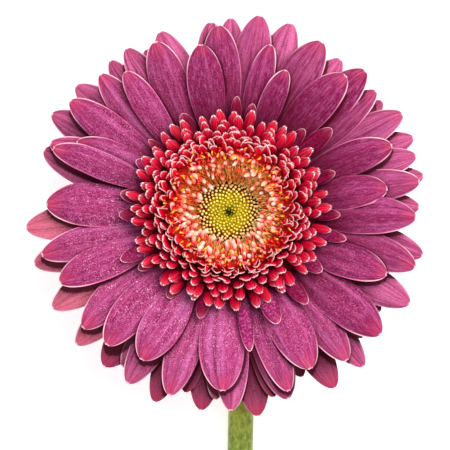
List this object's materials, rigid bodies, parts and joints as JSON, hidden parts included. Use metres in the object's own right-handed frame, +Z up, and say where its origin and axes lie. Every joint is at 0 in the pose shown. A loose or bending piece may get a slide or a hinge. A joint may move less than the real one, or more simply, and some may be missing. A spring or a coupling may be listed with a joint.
{
  "type": "cut gerbera flower",
  "caption": "Cut gerbera with mauve ray petals in overlapping rows, a crimson ruff, pale inner florets, a yellow-green disc and a green stem, lying face up on a table.",
  "frame": {"origin": "middle of the flower's bounding box, on the table it lies on", "axes": "+Z up from the table, +Y from the stem's cut end towards the head, +X to the head's right as seen from straight above"},
  "size_m": [0.1103, 0.3007, 0.0399],
  "materials": {
    "stem": "fresh yellow-green stem, satin, with a fine down of hairs",
    "involucre": "matt green bracts",
    "ray_florets": "velvety mauve petals with fine veins and pale pink rims",
    "ruff_florets": "satin crimson petals with pale pink rims",
    "inner_florets": "pale-tipped red florets with yellow anthers and beige hairs",
    "disc_buds": "waxy yellow-green buds"
  },
  "bodies": {
    "root": {"stem": "stem", "involucre": "involucre", "ray_florets": "ray_florets", "ruff_florets": "ruff_florets", "inner_florets": "inner_florets", "disc_buds": "disc_buds"}
  },
  "joints": []
}
